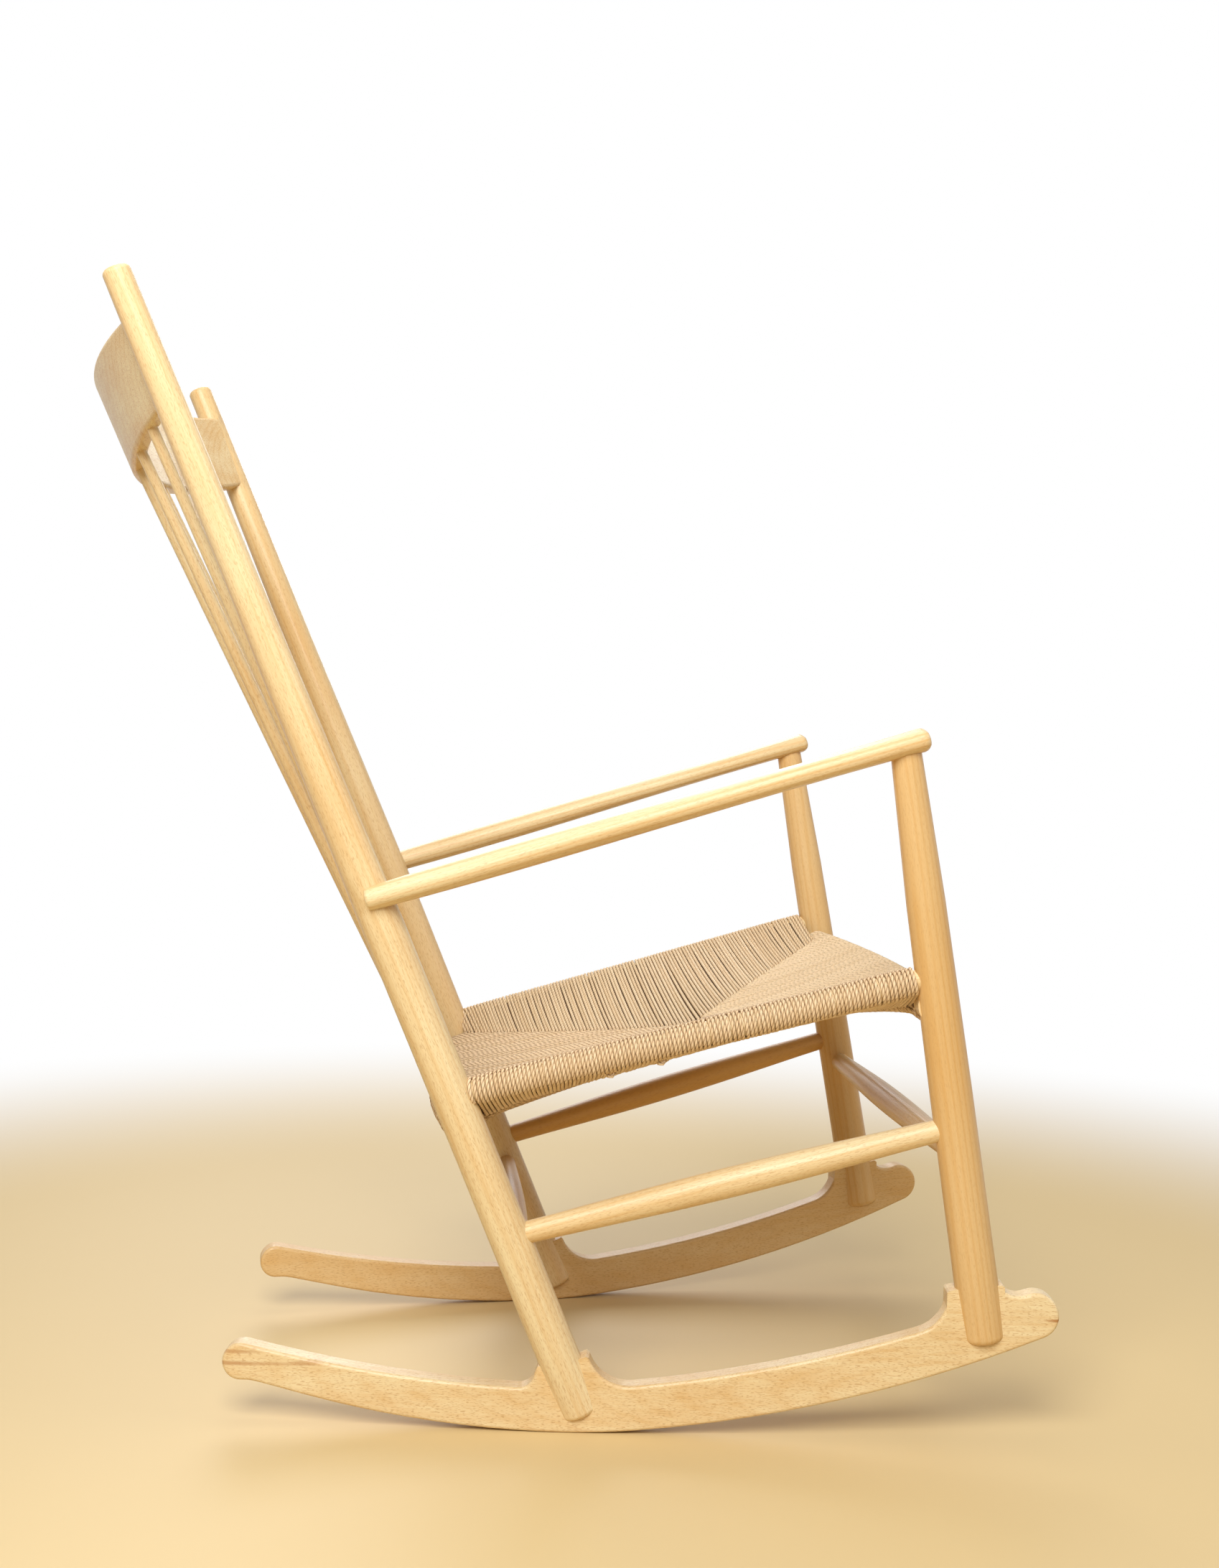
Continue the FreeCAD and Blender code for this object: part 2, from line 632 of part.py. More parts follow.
leg_tenon = pin("leg_tenon", "leg_tenon_diameter", "leg_tenon_length",
                arm_leg - LEG_LINE * (size("arm_middle_thickness") / 2 + size("leg_tenon_length") / 2),
                LEG_LINE)
dowel_end = arm_side.x + size("arm_rear_width") / 2 - size("arm_dowel_cover")
dowel = pin("arm_dowel_left", "arm_dowel_diameter", "arm_dowel_length",
            Vector(dowel_end, arm_post.y, arm_post.z), Vector(-1, 0, 0))

# Stretchers
STRETCHER = ("stretcher_end_diameter", "stretcher_quarter_diameter", "stretcher_belly_diameter",
             "stretcher_quarter_diameter", "stretcher_end_diameter")


def stretcher(label, first, second):
    past = unit(second - first) * size("stretcher_depth")
    return turned(label, first - past, second + past, STRETCHER_SHARES, STRETCHER)


def across_from(point):
    return Vector(-point.x, point.y, point.z)


side_rear = post_at(size("side_stretcher_rear_height"))
side_front = leg_at(size("side_stretcher_front_height"))
side_stretcher = stretcher("side_stretcher_left", side_rear, side_front)
front_mark = leg_at(size("front_stretcher_height"))
front_stretcher = stretcher("front_stretcher", across_from(front_mark), front_mark)
rear_mark = post_at(size("rear_stretcher_height"))
rear_stretcher = stretcher("rear_stretcher", across_from(rear_mark), rear_mark)

# Seat rails
rail_rear = post_at(size("side_rail_rear_height"))
rail_front = leg_at(size("side_rail_front_height"))
rail_past = unit(rail_front - rail_rear) * size("rail_tenon")
SIDE_RAIL = ("side_rail_end_diameter", "side_rail_diameter", "side_rail_diameter", "side_rail_diameter",
             "side_rail_end_diameter")
side_rail = turned("seat_side_rail_left", rail_rear - rail_past, rail_front + rail_past, SIDE_RAIL_SHARES,
                   SIDE_RAIL)

front_end = leg_at(size("front_rail_height")) + Vector(0, size("front_rail_setback"), 0)
front_half = front_end.x + size("rail_tenon")
rear_end = post_on_back(size("rear_rail_along"))
rear_half = rear_end.x + size("rail_tenon")
FACING_FRONT = Rotation(Vector(0, 0, 1), 180)
ALONG_BACK = Rotation(Vector(1, 0, 0), -size("rear_post_rake"))


def front_bar(label, half, extra=0):
    body, shift = bowed(label, "front_rail_width", "front_rail_depth", half, size("front_rail_bow"), extra)
    body.Placement = Placement(Vector(0, front_end.y - shift, front_end.z), FACING_FRONT)
    return body


def rear_bar(label, half, extra=0):
    body, shift = bowed(label, "rear_rail_diameter", "rear_rail_diameter", half, size("rear_rail_bow"), extra)
    body.Placement = Placement(back_at(0, shift, size("rear_rail_along")), ALONG_BACK)
    return body


front_rail = front_bar("seat_front_rail", front_half)
rear_rail_blank = rear_bar("seat_rear_rail_blank", rear_half)

# Top rail, bent like the rear rail and crowned along its upper edge
top_half = post_on_back(size("top_rail_along")).x - size("top_rail_housing")


def make_top_rail(label):
    body = add("PartDesign::Body", label)
    outer = size("top_rail_bend_radius")
    inner = outer - size("top_rail_thickness")
    outline = sketch_on(body, label + "_plan", "XY_Plane")
    centre = size("top_rail_bulge") - outer

    def bend(radius, across):
        return Vector(across, centre + math.sqrt(radius ** 2 - across ** 2), 0)

    draw_outline(outline, bend(outer, -top_half), [
        (bend(outer, 0), bend(outer, top_half)),
        (None, bend(inner, top_half)),
        (bend(inner, 0), bend(inner, -top_half)),
        (None, bend(outer, -top_half))])
    board = body.newObject("PartDesign::Pad", label + "_board")
    board.Profile = outline
    board.setExpression("Length", "Sizes.top_rail_height")
    doc.recompute()
    crown = sketch_on(body, label + "_crown", "XZ_Plane")
    high = size("top_rail_height")
    for edge, end, past in ((high, high - size("top_rail_upper_drop"), 2 * high),
                            (0, size("top_rail_lower_rise"), -high)):
        draw_outline(crown, Vector(-top_half, end, 0), [
            (Vector(0, edge, 0), Vector(top_half, end, 0)),
            (None, Vector(top_half, past, 0)),
            (None, Vector(-top_half, past, 0)),
            (None, Vector(-top_half, end, 0))])
    trim = body.newObject("PartDesign::Pocket", label + "_trim")
    trim.Profile = crown
    trim.Type = "ThroughAll"
    trim.SideType = "Symmetric"
    doc.recompute()
    spots = [bend(outer, 0), bend(inner, 0)]
    marks = [Vector(p.x, p.y, 0) for p in spots] + [Vector(p.x, p.y, high) for p in spots]
    edges = edges_near(trim.Shape, marks, TOUCH)
    round_over(body, trim, label + "_edges", edges, "Sizes.top_rail_edge_round")
    lean = Rotation(Vector(1, 0, 0), -size("rear_post_rake") - size("top_rail_lean"))
    body.Placement = Placement(back_at(0, 0, size("top_rail_along")), lean)
    return body


top_rail_blank = make_top_rail("top_rail_blank")

# Spindles, numbered from the sitter's right
rear_radius = (rear_half ** 2 + size("rear_rail_bow") ** 2) / (2 * size("rear_rail_bow"))
spindles = []
for number in range(SPINDLES):
    step = number - (SPINDLES - 1) / 2
    foot_x = step * size("spindle_foot_spacing")
    foot_bend = size("rear_rail_bow") - rear_radius + math.sqrt(rear_radius ** 2 - foot_x ** 2)
    foot = back_at(foot_x, foot_bend, size("rear_rail_along"))
    top_x = step * size("spindle_top_spacing")
    middle_radius = size("top_rail_bend_radius") - size("top_rail_thickness") / 2
    top_bend = (size("top_rail_bulge") - size("top_rail_bend_radius")
                + math.sqrt(middle_radius ** 2 - top_x ** 2))
    head = back_at(top_x, top_bend, size("top_rail_along"))
    line = unit(head - foot)
    spindles.append(turned("spindle_%d" % (number + 1), foot - line * size("spindle_foot_tenon"),
                           head + line * size("spindle_top_tenon"), SPINDLE_SHARES,
                           ("spindle_foot_diameter", "spindle_belly_diameter", "spindle_top_diameter")))

# Cord seat: wrapped rails and one layered panel between them
wrap = size("cord_wrap")
front_wrap = front_bar("front_wrap", front_end.x, wrap)
rear_wrap = rear_bar("rear_wrap", rear_end.x, wrap)


wrap_end = rail_front - unit(rail_front - rail_rear) * (size("bare_rail") + size("front_leg_seat_diameter") / 2)
left_wrap = turned("left_wrap", rail_rear, wrap_end, SIDE_RAIL_SHARES, SIDE_RAIL, "cord_wrap")
right_wrap = mirrored(left_wrap, "right_wrap")


def make_panel(label):
    body = add("PartDesign::Body", label)
    front = front_end + Vector(0, -size("front_rail_bow") / 2, 0)
    rear = back_at(0, size("rear_rail_bow") / 2, size("rear_rail_along"))
    front_tall = size("front_rail_depth") / 2 + wrap
    rear_tall = size("rear_rail_diameter") / 2 + wrap
    side_tall = size("side_rail_diameter") / 2 + wrap
    sections = []
    for number, (back_share, wide_share, dip_share) in enumerate(SEAT_SHARES):
        y = front.y + (rear.y - front.y) * back_share
        z = front.z + (rear.z - front.z) * back_share
        tall = front_tall + (rear_tall - front_tall) * back_share
        along = (y - rail_rear.y) / (rail_front.y - rail_rear.y)
        side = rail_rear + (rail_front - rail_rear) * along
        inside = side.x * wide_share
        top = z + tall - size("seat_sag") * dip_share
        under = z - tall + size("seat_lift") * dip_share
        at_end = back_share in (0.0, 1.0)
        edge = side.x * (END_WIDTH_SHARE if at_end else 1)
        side_top = top if at_end else side.z + side_tall
        side_under = under if at_end else side.z - side_tall
        sketch = sketch_on(body, "%s_%d" % (label, number + 1), "XZ_Plane", "%r mm" % -y)
        points = [Vector(-edge, side_top, 0), Vector(-inside, top, 0), Vector(inside, top, 0),
                  Vector(edge, side_top, 0), Vector(edge, side_under, 0), Vector(inside, under, 0),
                  Vector(-inside, under, 0), Vector(-edge, side_under, 0)]
        draw_outline(sketch, points[0], [(None, p) for p in points[1:] + points[:1]])
        sections.append(sketch)
    loft = body.newObject("PartDesign::AdditiveLoft", label + "_loft")
    loft.Profile = sections[0]
    loft.Sections = sections[1:]
    loft.Ruled = True
    doc.recompute()
    return body


panel = make_panel("seat_panel")
seat_blank = joined("seat_blank", [panel, front_wrap, rear_wrap, left_wrap, right_wrap])
post_blank_right = mirrored(post_blank, "rear_post_blank_right")
leg_blank_right = mirrored(leg_blank, "front_leg_blank_right")
side_rail_right = mirrored(side_rail, "seat_side_rail_right")
seat = fitted("woven_seat", seat_blank, [front_rail, rear_rail_blank, side_rail, side_rail_right, post_blank,
                                         post_blank_right, leg_blank, leg_blank_right] + spindles)

# Joints
rear_post = fitted("rear_post_left", post_blank, [rocker, side_stretcher, rear_stretcher, side_rail,
                                                  rear_rail_blank, top_rail_blank, dowel])
leg_cut = fitted("front_leg_cut", leg_blank, [rocker, side_stretcher, front_stretcher, side_rail,
                                              front_rail, arm_blank])
front_leg = joined("front_leg_left", [leg_cut, leg_tenon])
arm = fitted("arm_left", arm_blank, [post_blank, leg_tenon, dowel])
rear_rail = fitted("seat_rear_rail", rear_rail_blank, spindles)
top_rail = fitted("top_rail", top_rail_blank, spindles)

left_pieces = (rocker, rear_post, front_leg, arm, side_stretcher, dowel)
right_pieces = [mirrored(p, p.Label.replace("left", "right")) for p in left_pieces]
doc.recompute()

nodes = list(left_pieces) + right_pieces + spindles
nodes += [side_rail, side_rail_right, front_rail, rear_rail, top_rail, front_stretcher, rear_stretcher, seat]


def check(pieces):
    for thing in doc.Objects:
        if "Invalid" in thing.State or "Error" in thing.State:
            raise RuntimeError("%s failed" % thing.Label)
    for piece in pieces:
        shape = piece.Shape
        if shape.isNull() or not shape.isValid() or len(shape.Solids) != 1:
            raise RuntimeError("%s is not one whole solid" % piece.Label)


check(nodes)
os.makedirs("parts", exist_ok=True)
for piece in nodes:
    piece.Shape.exportStep("parts/%s.step" % piece.Label)
print("%d pieces written" % len(nodes))
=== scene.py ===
# The rocking chair as it looks: a lacquered beech frame and a seat wound from paper cord.
# Metres. The floor is z = 0, the sitter faces -Y and the sitter's left is +X.
import functools
import math
import random

import bmesh
import bpy
import numpy as np
from mathutils import Matrix, Vector


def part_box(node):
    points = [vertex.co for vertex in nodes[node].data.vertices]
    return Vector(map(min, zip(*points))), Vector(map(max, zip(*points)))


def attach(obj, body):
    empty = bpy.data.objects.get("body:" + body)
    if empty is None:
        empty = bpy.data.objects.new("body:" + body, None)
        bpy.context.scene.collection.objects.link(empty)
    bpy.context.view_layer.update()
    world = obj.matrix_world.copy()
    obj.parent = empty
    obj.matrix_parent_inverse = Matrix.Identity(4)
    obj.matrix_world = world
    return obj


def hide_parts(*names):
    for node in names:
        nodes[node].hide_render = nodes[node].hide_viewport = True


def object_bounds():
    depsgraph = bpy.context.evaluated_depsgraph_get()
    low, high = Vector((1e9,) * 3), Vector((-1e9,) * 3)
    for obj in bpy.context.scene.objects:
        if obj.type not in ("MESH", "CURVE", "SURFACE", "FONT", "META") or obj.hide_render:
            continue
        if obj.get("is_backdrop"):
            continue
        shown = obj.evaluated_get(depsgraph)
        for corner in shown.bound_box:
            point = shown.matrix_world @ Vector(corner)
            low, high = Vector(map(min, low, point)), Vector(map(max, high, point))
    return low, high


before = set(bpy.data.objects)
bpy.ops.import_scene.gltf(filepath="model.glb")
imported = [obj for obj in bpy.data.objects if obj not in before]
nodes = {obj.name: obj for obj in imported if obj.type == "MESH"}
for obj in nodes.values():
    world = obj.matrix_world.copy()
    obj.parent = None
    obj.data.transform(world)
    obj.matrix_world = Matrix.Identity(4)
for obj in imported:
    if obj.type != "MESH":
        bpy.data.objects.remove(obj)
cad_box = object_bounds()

MM = 0.001
UP = Vector((0, 0, 1))
WHITE = (1, 1, 1, 1)
chance = random.Random(11)
scene = bpy.context.scene


# Camera, beside the chair and 0.65 m up. Turns are in degrees.

EYE = Vector((-1.874, 0.1113, 0.6468))
EYE_TURN = -5.275
EYE_TILT = -0.98
EYE_ROLL = 0.78
FOCAL_PIXELS = 2450
IMAGE_HEIGHT = 2184
SENSOR = 36


def set_camera():
    turn = math.radians(EYE_TURN)
    tilt = math.radians(EYE_TILT)
    forward = Vector((math.cos(turn) * math.cos(tilt), math.sin(turn) * math.cos(tilt), math.sin(tilt)))
    right = forward.cross(UP).normalized()
    above = right.cross(forward)
    roll = Matrix.Rotation(-math.radians(EYE_ROLL), 3, forward)
    right = roll @ right
    above = roll @ above
    data = bpy.data.cameras.new("camera")
    data.sensor_width = SENSOR
    data.lens = SENSOR * FOCAL_PIXELS / IMAGE_HEIGHT
    camera = bpy.data.objects.new("camera", data)
    turned = Matrix((right, above, -forward)).transposed().to_4x4()
    camera.matrix_world = Matrix.Translation(EYE) @ turned
    scene.collection.objects.link(camera)
    scene.camera = camera


# Building blocks of materials and meshes

GROUP_SOCKETS = {"colour": "NodeSocketColor", "value": "NodeSocketFloat", "vector": "NodeSocketVector"}

# Numbers of the colour sockets of a mix node, whose labels its other kinds of socket share
MIX_FIRST = 6
MIX_SECOND = 7
MIX_RESULT = 2


def new_node(tree, kind, **settings):
    made = tree.nodes.new(kind)
    for key, value in settings.items():
        setattr(made, key, value)
    return made


def set_inputs(node, values):
    for label, value in values.items():
        node.inputs[label].default_value = value


def feed(tree, source, socket):
    # What goes into a socket is another socket's output or a constant
    if isinstance(source, bpy.types.NodeSocket):
        tree.links.new(source, socket)
    else:
        socket.default_value = source


def maths(tree, operation, *sources):
    node = new_node(tree, "ShaderNodeMath", operation=operation)
    for source, socket in zip(sources, node.inputs):
        feed(tree, source, socket)
    return node.outputs[0]


def mixed(tree, mask, first, second):
    node = new_node(tree, "ShaderNodeMix", data_type="RGBA")
    feed(tree, mask, node.inputs["Factor"])
    feed(tree, first, node.inputs[MIX_FIRST])
    feed(tree, second, node.inputs[MIX_SECOND])
    return node.outputs[MIX_RESULT]


def mixed_shader(tree, mask, first, second):
    node = new_node(tree, "ShaderNodeMixShader")
    for source, socket in zip((mask, first, second), node.inputs):
        tree.links.new(source, socket)
    return node.outputs[0]


def ranged(tree, value, low, high, to_low=0.0, to_high=1.0, **settings):
    node = new_node(tree, "ShaderNodeMapRange", **settings)
    set_inputs(node, {"From Min": low, "From Max": high, "To Min": to_low, "To Max": to_high})
    tree.links.new(value, node.inputs["Value"])
    return node.outputs[0]


def length_of(tree, vector):
    node = new_node(tree, "ShaderNodeVectorMath", operation="LENGTH")
    tree.links.new(vector, node.inputs[0])
    return node.outputs["Value"]


def stretched(tree, vector, repeats, kind, **settings):
    # A texture whose pattern is drawn out by the given number of repeats along each axis
    mapping = new_node(tree, "ShaderNodeMapping")
    mapping.inputs["Scale"].default_value = repeats
    tree.links.new(vector, mapping.inputs["Vector"])
    texture = new_node(tree, kind)
    set_inputs(texture, {"Scale": 1, **settings})
    tree.links.new(mapping.outputs[0], texture.inputs["Vector"])
    return texture


def object_place(tree):
    return new_node(tree, "ShaderNodeTexCoord").outputs["Object"]


def white_for_eye(tree):
    # 1 for what the camera sees directly, in a gloss or through glass, and 0 for light on the object
    path = new_node(tree, "ShaderNodeLightPath").outputs
    direct = maths(tree, "MAXIMUM", path["Is Camera Ray"], path["Is Glossy Ray"])
    return maths(tree, "MAXIMUM", direct, path["Is Transmission Ray"])


def add_bump(tree, surface, height, strength, distance):
    bump = new_node(tree, "ShaderNodeBump")
    set_inputs(bump, {"Strength": strength, "Distance": distance})
    tree.links.new(height, bump.inputs["Height"])
    tree.links.new(bump.outputs[0], surface.inputs["Normal"])


def new_group(name, inputs, outputs):
    tree = bpy.data.node_groups.new(name, "ShaderNodeTree")
    for direction, rows in (("INPUT", inputs), ("OUTPUT", outputs)):
        for label, kind in rows:
            tree.interface.new_socket(label, in_out=direction, socket_type=GROUP_SOCKETS[kind])
    return tree, new_node(tree, "NodeGroupInput"), new_node(tree, "NodeGroupOutput")


def new_material(name):
    material = bpy.data.materials.new(name)
    material.use_nodes = True
    tree = material.node_tree
    return material, tree, tree.nodes["Principled BSDF"]


def finished(bm, name, material):
    mesh = bpy.data.meshes.new(name)
    bm.to_mesh(mesh)
    bm.free()
    mesh.materials.append(material)
    piece = bpy.data.objects.new(name, mesh)
    scene.collection.objects.link(piece)
    return piece


# Soft light, a pale floor and a white background

FLOOR_RADIUS = 5.0
FLOOR_SEGMENTS = 96
FLOOR_FADE_START = 0.95
FLOOR_FADE_END = 2.1
FLOOR_COLOUR = (0.68, 0.51, 0.25, 1)
FLOOR_ROUGHNESS = 0.55
WORLD_COLOUR = (1, 0.8, 0.58, 1)
WORLD_LIGHT = 0.06

# Name, place, the point it faces, side of the square and power of each panel
PANELS = (
    ("key_panel", (-2.05, 0.55, 2.1), (0, 0, 0.4), 1.6, 87),
    ("fill_panel", (2.5, 0.2, 1.9), (0, 0, 0.4), 1.8, 36),
    ("top_panel", (0.1, 0.1, 2.9), (0, 0, 0.3), 1.8, 15),
    ("front_panel", (-0.6, -2.7, 1.9), (0, 0, 0.6), 1.6, 18),
)


def soft_lamp(name, place, aim, size, power):
    light = bpy.data.lights.new(name, "AREA")
    light.shape = "SQUARE"
    light.size = size
    light.energy = power
    lamp = bpy.data.objects.new(name, light)
    facing = (Vector(aim) - Vector(place)).to_track_quat("-Z", "Y")
    lamp.matrix_world = Matrix.Translation(place) @ facing.to_matrix().to_4x4()
    scene.collection.objects.link(lamp)


def set_world():
    world = bpy.data.worlds.new("studio")
    world.use_nodes = True
    tree = world.node_tree
    tree.nodes.clear()
    light = new_node(tree, "ShaderNodeBackground")
    set_inputs(light, {"Color": WORLD_COLOUR, "Strength": WORLD_LIGHT})
    white = new_node(tree, "ShaderNodeBackground")
    white.inputs["Color"].default_value = WHITE
    mix = mixed_shader(tree, white_for_eye(tree), light.outputs[0], white.outputs[0])
    tree.links.new(mix, new_node(tree, "ShaderNodeOutputWorld").inputs[0])
    scene.world = world


def floor_material():
    material, tree, surface = new_material("pale_floor")
    set_inputs(surface, {"Base Color": FLOOR_COLOUR, "Roughness": FLOOR_ROUGHNESS})
    fade = ranged(tree, length_of(tree, object_place(tree)), FLOOR_FADE_START, FLOOR_FADE_END,
                  interpolation_type="SMOOTHSTEP")
    seen = maths(tree, "MULTIPLY", fade, white_for_eye(tree))
    white = new_node(tree, "ShaderNodeEmission")
    mix = mixed_shader(tree, seen, surface.outputs[0], white.outputs[0])
    tree.links.new(mix, tree.nodes["Material Output"].inputs[0])
    return material


def set_stage():
    bm = bmesh.new()
    bmesh.ops.create_circle(bm, cap_ends=True, radius=FLOOR_RADIUS, segments=FLOOR_SEGMENTS)
    floor = finished(bm, "floor", floor_material())
    floor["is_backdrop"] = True
    for row in PANELS:
        soft_lamp(*row)


# Beech: pale wood with fine streaks, faint rings and short dark flecks, the same group for every piece

PALE = (0.84, 0.715, 0.44, 1)
DEEP = (0.64, 0.36, 0.11, 1)
FLECK = (0.46, 0.22, 0.07, 1)
GLOSS = {"Specular IOR Level": 0.3, "Coat Weight": 0.12, "Coat Roughness": 0.22}
BEECH_BUMP = 0.12
BEECH_BUMP_HEIGHT = 0.2 * MM
LEAST_ROUGHNESS = 0.36
STREAK_ROUGHNESS = 0.1
STREAK_HEIGHT = 0.35

# Repeats in a metre across the grain, twice, and along it. Those of the rings are times the scale below.
STREAK_REPEATS = (520, 520, 9)
BAND_REPEATS = (70, 70, 3)
PATCH_REPEATS = (16, 16, 5)
FLECK_REPEATS = (1500, 1500, 210)
RING_REPEATS = (1, 1, 0.12)
RING_SHAPE = {"Scale": 58, "Distortion": 2.2, "Detail": 2, "Detail Scale": 0.5}

# The values of each pattern from which it begins to show and shows in full
STREAK_RANGE = (0.35, 0.7)
BAND_RANGE = (0.3, 0.7)
PATCH_RANGE = (0.35, 0.7)
RING_RANGE = (0.55, 1.0)
FLECK_RANGE = (0.61, 0.68)

# How far each pattern goes from the pale to the deep colour
STREAK_DEPTH = 0.19
BAND_DEPTH = 0.28
PATCH_DEPTH = 0.3


def grain_group():
    # The grain runs along the incoming vector's Z; the tree's middle is at x = y = 0
    tree, given, out = new_group(
        "beech_grain",
        (("Vector", "vector"), ("Pale", "colour"), ("Deep", "colour"), ("Fleck", "colour"),
         ("Ring Strength", "value"), ("Fleck Strength", "value")),
        (("Colour", "colour"), ("Roughness", "value"), ("Height", "value")))

    def noise(repeats, shown, **settings):
        texture = stretched(tree, given.outputs["Vector"], repeats, "ShaderNodeTexNoise", **settings)
        return ranged(tree, texture.outputs["Fac"], *shown)

    streak = noise(STREAK_REPEATS, STREAK_RANGE, Detail=3, Roughness=0.6)
    band = noise(BAND_REPEATS, BAND_RANGE, Detail=2)
    patch = noise(PATCH_REPEATS, PATCH_RANGE, Detail=1)
    dash = noise(FLECK_REPEATS, FLECK_RANGE, Detail=0)
    rings = stretched(tree, given.outputs["Vector"], RING_REPEATS, "ShaderNodeTexWave", **RING_SHAPE)
    rings.wave_type = "RINGS"
    rings.rings_direction = "Z"
    line = ranged(tree, rings.outputs["Fac"], *RING_RANGE)
    tone = maths(tree, "MULTIPLY", streak, STREAK_DEPTH)
    for share, depth in ((band, BAND_DEPTH), (patch, PATCH_DEPTH), (line, given.outputs["Ring Strength"])):
        tone = maths(tree, "ADD", tone, maths(tree, "MULTIPLY", share, depth))
    wood = mixed(tree, tone, given.outputs["Pale"], given.outputs["Deep"])
    dash = maths(tree, "MULTIPLY", dash, given.outputs["Fleck Strength"])
    tree.links.new(mixed(tree, dash, wood, given.outputs["Fleck"]), out.inputs["Colour"])
    rough = maths(tree, "ADD", maths(tree, "MULTIPLY", streak, STREAK_ROUGHNESS), LEAST_ROUGHNESS)
    tree.links.new(rough, out.inputs["Roughness"])
    height = maths(tree, "SUBTRACT", maths(tree, "MULTIPLY", streak, STREAK_HEIGHT), dash)
    tree.links.new(height, out.inputs["Height"])
    return tree


def beech(name, along, middle, heart, rings, flecks, warmth):
    # along is the way the grain runs, and heart the middle of the tree seen from the piece's middle
    material, tree, surface = new_material(name)
    mapping = new_node(tree, "ShaderNodeMapping")
    turn = Vector(along).rotation_difference(UP)
    mapping.inputs["Rotation"].default_value = turn.to_euler()
    mapping.inputs["Location"].default_value = turn @ -(Vector(middle) + Vector(heart))
    tree.links.new(object_place(tree), mapping.inputs["Vector"])
    grain = new_node(tree, "ShaderNodeGroup", node_tree=GRAIN)
    set_inputs(grain, {"Pale": Vector(PALE).lerp(Vector(DEEP), warmth), "Deep": DEEP, "Fleck": FLECK,
                       "Ring Strength": rings, "Fleck Strength": flecks})
    set_inputs(surface, GLOSS)
    tree.links.new(mapping.outputs[0], grain.inputs["Vector"])
    tree.links.new(grain.outputs["Colour"], surface.inputs["Base Color"])
    tree.links.new(grain.outputs["Roughness"], surface.inputs["Roughness"])
    add_bump(tree, surface, grain.outputs["Height"], BEECH_BUMP, BEECH_BUMP_HEIGHT)
    return material


def finish_node(name, along, heart, *looks):
    low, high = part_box(name)
    piece = nodes[name]
    piece.data.materials.clear()
    wood = beech("beech_" + name, along, (low + high) / 2, heart, *looks)
    piece.data.materials.append(wood)


# Middle, about half the size along each axis, and strength of each mark
STAINS = (
    ((-0.165, 0.32, 0.0595), (0.1, 0.085, 0.0026), 0.6),
    ((-0.165, 0.31, 0.0705), (0.1, 0.04, 0.0024), 0.5),
    ((-0.165, 0.238, 0.0615), (0.1, 0.016, 0.003), 0.45),
    ((-0.26, -0.468, 0.1185), (0.1, 0.014, 0.0022), 0.9),
)
STAIN_COLOUR = (0.42, 0.17, 0.04, 1)
STAIN_WAVER_REPEATS = (40, 26, 300)
STAIN_WAVER = 0.9
STAIN_FULL = 0.8
STAIN_GONE = 1.5


def add_stains(wood):
    # Brown heart streaks at the tail of the right rocker and a dark mark on its toe
    tree = wood.node_tree
    surface = tree.nodes["Principled BSDF"]
    colour = surface.inputs["Base Color"].links[0].from_socket
    place = object_place(tree)
    noise = stretched(tree, place, STAIN_WAVER_REPEATS, "ShaderNodeTexNoise", Detail=2)
    waver = maths(tree, "MULTIPLY", noise.outputs["Fac"], STAIN_WAVER)
    for middle, reach, strength in STAINS:
        mapping = new_node(tree, "ShaderNodeMapping")
        mapping.inputs["Scale"].default_value = [1 / side for side in reach]
        mapping.inputs["Location"].default_value = [-spot / side for spot, side in zip(middle, reach)]
        tree.links.new(place, mapping.inputs["Vector"])
        reached = maths(tree, "ADD", length_of(tree, mapping.outputs[0]), waver)
        mark = ranged(tree, reached, STAIN_FULL, STAIN_GONE, strength, 0)
        colour = mixed(tree, mark, colour, STAIN_COLOUR)
    tree.links.new(colour, surface.inputs["Base Color"])


# The usual strength of the rings and of the flecks
RINGS = 0.16
FLECKS = 0.35

